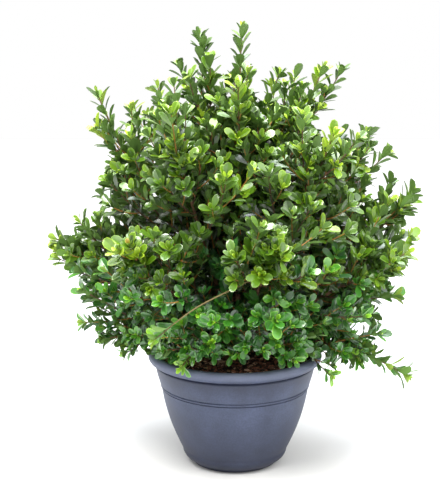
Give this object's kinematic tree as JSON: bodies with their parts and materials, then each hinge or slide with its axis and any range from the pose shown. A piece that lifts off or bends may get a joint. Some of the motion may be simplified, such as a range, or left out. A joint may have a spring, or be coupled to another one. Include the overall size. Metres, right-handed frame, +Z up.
{
  "type": "potted evergreen azalea shrub",
  "caption": "Small-leaved evergreen azalea with an upright, spreading crown in a round tapered pot with a rolled rim, filled with bark mix.",
  "frame": {"origin": "centre of the pot's flat underside", "axes": "+Z up, +X to the right and -Y towards the viewer of the picture"},
  "size_m": [0.6532, 0.5888, 0.7675],
  "materials": {
    "pot": "moulded slate-blue plastic, matt, faintly speckled",
    "potting_mix": "loose dark bark chips",
    "bark": "fine grey-brown to red-brown bark",
    "foliage": "leathery, half-glossy green leaves"
  },
  "bodies": {
    "root": {"pot": "pot", "potting_mix": "potting_mix", "trunk": "bark", "bough_low_1": "bark", "bough_low_2": "bark", "bough_low_3": "bark", "bough_low_4": "bark", "bough_low_5": "bark", "bough_low_6": "bark", "bough_low_7": "bark", "bough_middle_1": "bark", "bough_middle_2": "bark", "bough_middle_3": "bark", "bough_middle_4": "bark", "bough_middle_5": "bark", "bough_middle_6": "bark", "bough_middle_7": "bark", "bough_middle_8": "bark", "bough_upper_1": "bark", "bough_upper_2": "bark", "bough_upper_3": "bark", "bough_upper_4": "bark", "bough_upper_5": "bark", "bough_upper_6": "bark", "bough_upper_7": "bark", "bough_top_1": "bark", "bough_top_2": "bark", "bough_top_3": "bark", "bough_top_4": "bark", "foliage_low_1": "foliage", "foliage_low_2": "foliage", "foliage_low_3": "foliage", "foliage_low_4": "foliage", "foliage_low_5": "foliage", "foliage_low_6": "foliage", "foliage_low_7": "foliage", "foliage_middle_1": "foliage", "foliage_middle_2": "foliage", "foliage_middle_3": "foliage", "foliage_middle_4": "foliage", "foliage_middle_5": "foliage", "foliage_middle_6": "foliage", "foliage_middle_7": "foliage", "foliage_middle_8": "foliage", "foliage_upper_1": "foliage", "foliage_upper_2": "foliage", "foliage_upper_3": "foliage", "foliage_upper_4": "foliage", "foliage_upper_5": "foliage", "foliage_upper_6": "foliage", "foliage_upper_7": "foliage", "foliage_top_1": "foliage", "foliage_top_2": "foliage", "foliage_top_3": "foliage", "foliage_top_4": "foliage"}
  },
  "joints": []
}
